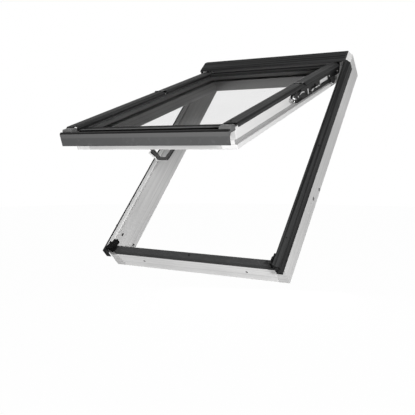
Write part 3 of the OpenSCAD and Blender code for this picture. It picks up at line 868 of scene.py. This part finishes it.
# %% [markdown]
# ## Dark strip under the hood
# A thin dark strip lies under the hood, on the head rail, as painted shade: it stands for the rail's shade
# there.
# It is a plain long box, so a cube is laid on the slope of the roof and stretched to its size.

# %% Dark strip under the hood
SHADE_STRIP_PLACE = (0.0, 1.1292, 0.109)
SHADE_STRIP_SIZE = Vector((0.650, 0.0016, 0.044))

# A dark box where the head rail lies in shade: painted shade.
shade_strip_shape = bmesh.new()
shade_strip_matrix = Matrix.LocRotScale(on_frame(*SHADE_STRIP_PLACE), roof_turn, SHADE_STRIP_SIZE)
bmesh.ops.create_cube(shade_strip_shape, size=1.0, matrix=shade_strip_matrix)
shade_strip_mesh = bpy.data.meshes.new("head_foam")
shade_strip_shape.to_mesh(shade_strip_mesh)
shade_strip_shape.free()
head_foam = show("head_foam", shade_strip_mesh, black_rubber)
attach(head_foam, "frame")

# %% [markdown]
# ## Painted highlights at the split in the side covers
# The side covers part near the pivot, and a thin pale slab over the end of the upper half is a painted
# highlight on the edge there.
# It moves with the arms, as the upper half does, and is a slab like the gear.

# %% Cover split highlights
SPLIT_HIGHLIGHT_INNER = 0.304
SPLIT_HIGHLIGHT_INSET = 0.009
cover_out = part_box("upper_cover_right")[1].x

# A pale sliver at the split: a painted highlight.
split_highlight = [(0.4700, 0.0), (0.4735, 0.0), (0.4735, 0.0010), (0.4700, 0.0010)]
arm_slabs("cover_trims", [split_highlight], SPLIT_HIGHLIGHT_INNER, cover_out - SPLIT_HIGHLIGHT_INSET, pale_highlight_plastic)

# %% [markdown]
# ## Side plate of the handle
# A bright plate lies along one side of the handle, and shows as a light edge under the sash.
# Its outline is drawn across the sash, so here the thickness runs down the slope. It turns with the handle.

# %% Bail plate
PLATE_SPAN = (1.001, 1.020)
PLATE_ROUND = 0.0006

plate = [(-0.0493, -0.1166), (-0.0157, -0.1470), (-0.0190, -0.1507), (-0.0540, -0.1218)]
plate_rings = [[on_sash(across, down, out) for across, out in plate] for down in PLATE_SPAN]
plate_mesh = rounded_mesh("bail_plate", [plate_rings], PLATE_ROUND)
bail_plate = show("bail_plate", plate_mesh, zinc_steel)
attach(bail_plate, "handle")

# %% [markdown]
# ## Coil springs and wire loops
# A coil spring lies along each arm, and a bent wire loop hangs on its tail.
# Both are round wire. A Screw modifier could wind the coil, but a curve with a round section can follow
# any path, so it draws both of them and is then made a mesh.

# %% Wire along a path


def wire_piece(name, paths, thick, closed, finish):
    """Draws round wire along each path of places, and makes it a plain mesh that rides on the arms."""
    wire = bpy.data.curves.new(name + "_wire", "CURVE")
    wire.dimensions = "3D"
    wire.bevel_depth = thick / 2.0
    wire.bevel_resolution = 2
    for path in paths:
        line = wire.splines.new("POLY")
        line.points.add(len(path) - 1)
        line.use_cyclic_u = closed
        line.use_smooth = True
        for point, place in zip(line.points, path):
            point.co = (*place, 1.0)
    drawn = bpy.data.objects.new(name + "_wire", wire)
    bpy.context.collection.objects.link(drawn)
    graph = bpy.context.evaluated_depsgraph_get()
    mesh = bpy.data.meshes.new_from_object(drawn.evaluated_get(graph))
    bpy.data.objects.remove(drawn)
    mesh.name = name
    arm_piece(name, mesh, finish)


print("wire helper ready")

# %% Coils and loops
COIL_TURNS = 14
COIL_STEPS = 12
COIL_R = 0.0038
COIL_GAP = 0.0012
COIL_OUT = -0.045
COIL_FROM = 0.312
COIL_TO = 0.368
COIL_WIRE = 0.0020
LOOP_STEPS = 24
LOOP_R = 0.011
LOOP_SWELL = 0.003
LOOP_SWELLS = 3.0
LOOP_DOWN = 0.606
LOOP_OUT = -0.040
LOOP_GAP = 0.002
LOOP_WIRE = 0.0036


def coil_path(side):
    """A helix beside one arm."""
    path = []
    for k in range(COIL_TURNS * COIL_STEPS + 1):
        turn = 2.0 * math.pi * k / COIL_STEPS
        down = COIL_FROM + (COIL_TO - COIL_FROM) * k / (COIL_TURNS * COIL_STEPS)
        across = arm_face + COIL_R + COIL_GAP + COIL_R * math.cos(turn)
        path.append(on_sash(side * across, down, COIL_OUT + COIL_R * math.sin(turn)))
    return path


def loop_path(side):
    """A rounded triangle of wire beside the tail of one arm."""
    path = []
    for k in range(LOOP_STEPS):
        turn = 2.0 * math.pi * k / LOOP_STEPS
        reach = LOOP_R + LOOP_SWELL * math.cos(LOOP_SWELLS * turn)
        down = LOOP_DOWN + reach * math.cos(turn)
        path.append(on_sash(side * (arm_face + LOOP_GAP), down, LOOP_OUT + reach * math.sin(turn)))
    return path


coil_paths = [coil_path(side) for side in SIDES]
loop_paths = [loop_path(side) for side in SIDES]
wire_piece("coil_springs", coil_paths, COIL_WIRE, False, dull_steel)
wire_piece("tail_loops", loop_paths, LOOP_WIRE, True, zinc_steel)

# %% [markdown]
# ## Rivets on the arms
# Rivets hold the gear to the arm. At this size a rivet looks like a small screw head that faces sideways,
# so the heads from above serve again, a little smaller.

# %% Rivets
RIVETS = ((0.545, -0.041), (0.575, -0.043), (0.306, -0.045), (0.160, -0.035), (0.046, -0.034))
RIVET_SIZE = 0.9

rivet_spots = []
for side in SIDES:
    for down, out in RIVETS:
        rivet_spots.append((on_sash(side * arm_face, down, out), Vector((side, 0.0, 0.0))))
set_heads("arm_rivets", "hanger", rivet_spots, cover_head, zinc_steel, RIVET_SIZE)

# %% [markdown]
# ## World
# The window is shown on plain white. The world is white for what the camera, a reflection or a pane sees,
# and a weak even fill for everything else. A white world alone would light every side the same.
# Light Path tells the rays apart, and two Maximum nodes join the three kinds that see white.

# %% World
FILL = 0.10
WHITE = (1.0, 1.0, 1.0, 1.0)
world = bpy.data.worlds.new("studio")
bpy.context.scene.world = world
world.use_nodes = True
sky = world.node_tree
sky.nodes.clear()


def sky_light(strength):
    """A white background of some strength."""
    light = sky.nodes.new("ShaderNodeBackground")
    light.inputs["Color"].default_value = WHITE
    light.inputs["Strength"].default_value = strength
    return light.outputs[0]


def larger(first, second):
    """The larger of two values in the world's graph."""
    made = sky.nodes.new("ShaderNodeMath")
    made.operation = "MAXIMUM"
    sky.links.new(first, made.inputs[0])
    sky.links.new(second, made.inputs[1])
    return made.outputs[0]


ray_kind = sky.nodes.new("ShaderNodeLightPath").outputs
either = sky.nodes.new("ShaderNodeMixShader")
sky_end = sky.nodes.new("ShaderNodeOutputWorld")
seen = larger(ray_kind["Is Camera Ray"], ray_kind["Is Glossy Ray"])
sky.links.new(larger(seen, ray_kind["Is Transmission Ray"]), either.inputs[0])
sky.links.new(sky_light(FILL), either.inputs[1])
sky.links.new(sky_light(1.0), either.inputs[2])
sky.links.new(either.outputs[0], sky_end.inputs["Surface"])
print("world fill", FILL)

# %% [markdown]
# ## Floor
# The floor lies far below the window and is white to the camera, so that it runs into the background.
# To all other rays it is a matt grey, and a small share of that grey lets the camera see a soft shadow.

# %% Floor
FLOOR_DROP = 0.75
FLOOR_SIDES = 96
FLOOR_RADIUS = 12.0
FLOOR_GREY = 0.2
FLOOR_GLOW = 1.06
GLOW_SHARE = 0.93
floor_level = cad_box[0].z - FLOOR_DROP

floor_shape = bmesh.new()
bmesh.ops.create_circle(floor_shape, cap_ends=True, segments=FLOOR_SIDES, radius=FLOOR_RADIUS)
bmesh.ops.translate(floor_shape, verts=floor_shape.verts, vec=(0.0, 0.0, floor_level))
floor_mesh = bpy.data.meshes.new("floor")
floor_shape.to_mesh(floor_mesh)
floor_shape.free()
floor = bpy.data.objects.new("floor", floor_mesh)
bpy.context.collection.objects.link(floor)
print("floor at", round(floor_level, 3))

# %% Floor paint
floor_paint = bpy.data.materials.new("floor_paint")
floor_paint.use_nodes = True
ground = floor_paint.node_tree
ground.nodes.clear()
glow = ground.nodes.new("ShaderNodeEmission")
glow.inputs["Strength"].default_value = FLOOR_GLOW
matt = ground.nodes.new("ShaderNodeBsdfDiffuse")
matt.inputs["Color"].default_value = grey(FLOOR_GREY)
ray = ground.nodes.new("ShaderNodeLightPath")
share = ground.nodes.new("ShaderNodeMath")
share.operation = "MULTIPLY"
share.inputs[1].default_value = GLOW_SHARE
mixed = ground.nodes.new("ShaderNodeMixShader")
ground_end = ground.nodes.new("ShaderNodeOutputMaterial")
ground.links.new(ray.outputs["Is Camera Ray"], share.inputs[0])
ground.links.new(share.outputs[0], mixed.inputs[0])
ground.links.new(matt.outputs[0], mixed.inputs[1])
ground.links.new(glow.outputs[0], mixed.inputs[2])
ground.links.new(mixed.outputs[0], ground_end.inputs["Surface"])
floor_mesh.materials.append(floor_paint)
print("floor paint with", len(ground.nodes), "nodes")

# %% [markdown]
# ## Lamps
# Four soft square lamps light the window. The main one stands to the right of the camera, so that the side
# of the window is bright and what is seen through the glass stays in the shade of the sash.
# A weaker one, low in front, lifts the sash front and the sill. One above lights the tops of the covers,
# and one behind lights the side that the photograph doesn't show.

# %% Lamps
MIDDLE = Vector((0.0, 0.2, 0.5))


def lamp(name, place, width, power):
    """A square soft lamp at a place, turned to the middle of the window."""
    data = bpy.data.lights.new(name, "AREA")
    data.shape = "SQUARE"
    data.size = width
    data.energy = power
    made = bpy.data.objects.new(name, data)
    made.location = place
    made.rotation_mode = "QUATERNION"
    made.rotation_quaternion = (MIDDLE - Vector(place)).to_track_quat("-Z", "Y")
    bpy.context.collection.objects.link(made)
    print(name, "gives", power, "W")


lamp("camera_soft", (2.55, -2.05, 0.55), width=0.6, power=98.0)
lamp("front_soft", (-0.9, -2.8, -0.3), width=0.8, power=44.0)
lamp("top_soft", (0.8, -1.2, 3.4), width=1.6, power=18.0)
lamp("back_soft", (-1.1, 3.0, 0.0), width=1.4, power=44.0)

# %% [markdown]
# ## Camera
# The photograph looks at the window from its right and a little above its middle.
# The angles, the lens and the place were fitted to straight edges of the frame and sash.
# A small shift of the film keeps the uprights as they are and moves the window up in the picture.

# %% Camera
AZIMUTH = math.radians(29.57)
ELEVATION = math.radians(2.69)
DISTANCE = 2.6
LOOK_AT = Vector((-0.0667, 0.1897, 0.3454))
LENS = 53.406
FILM_WIDTH = 36.0
FILM_SHIFT = -0.0663
NEAREST = 0.05
FARTHEST = 60.0

level = math.cos(ELEVATION)
back = Vector((math.sin(AZIMUTH) * level, -math.cos(AZIMUTH) * level, math.sin(ELEVATION)))
film = bpy.data.cameras.new("photo_camera")
film.lens = LENS
film.sensor_width = FILM_WIDTH
film.shift_y = FILM_SHIFT
film.clip_start = NEAREST
film.clip_end = FARTHEST
camera = bpy.data.objects.new("photo_camera", film)
camera.location = LOOK_AT + back * DISTANCE
camera.rotation_mode = "QUATERNION"
camera.rotation_quaternion = (-back).to_track_quat("-Z", "Y")
bpy.context.collection.objects.link(camera)
bpy.context.scene.camera = camera
bpy.context.scene.view_settings.view_transform = "Standard"
print("camera at", [round(v, 3) for v in camera.location])
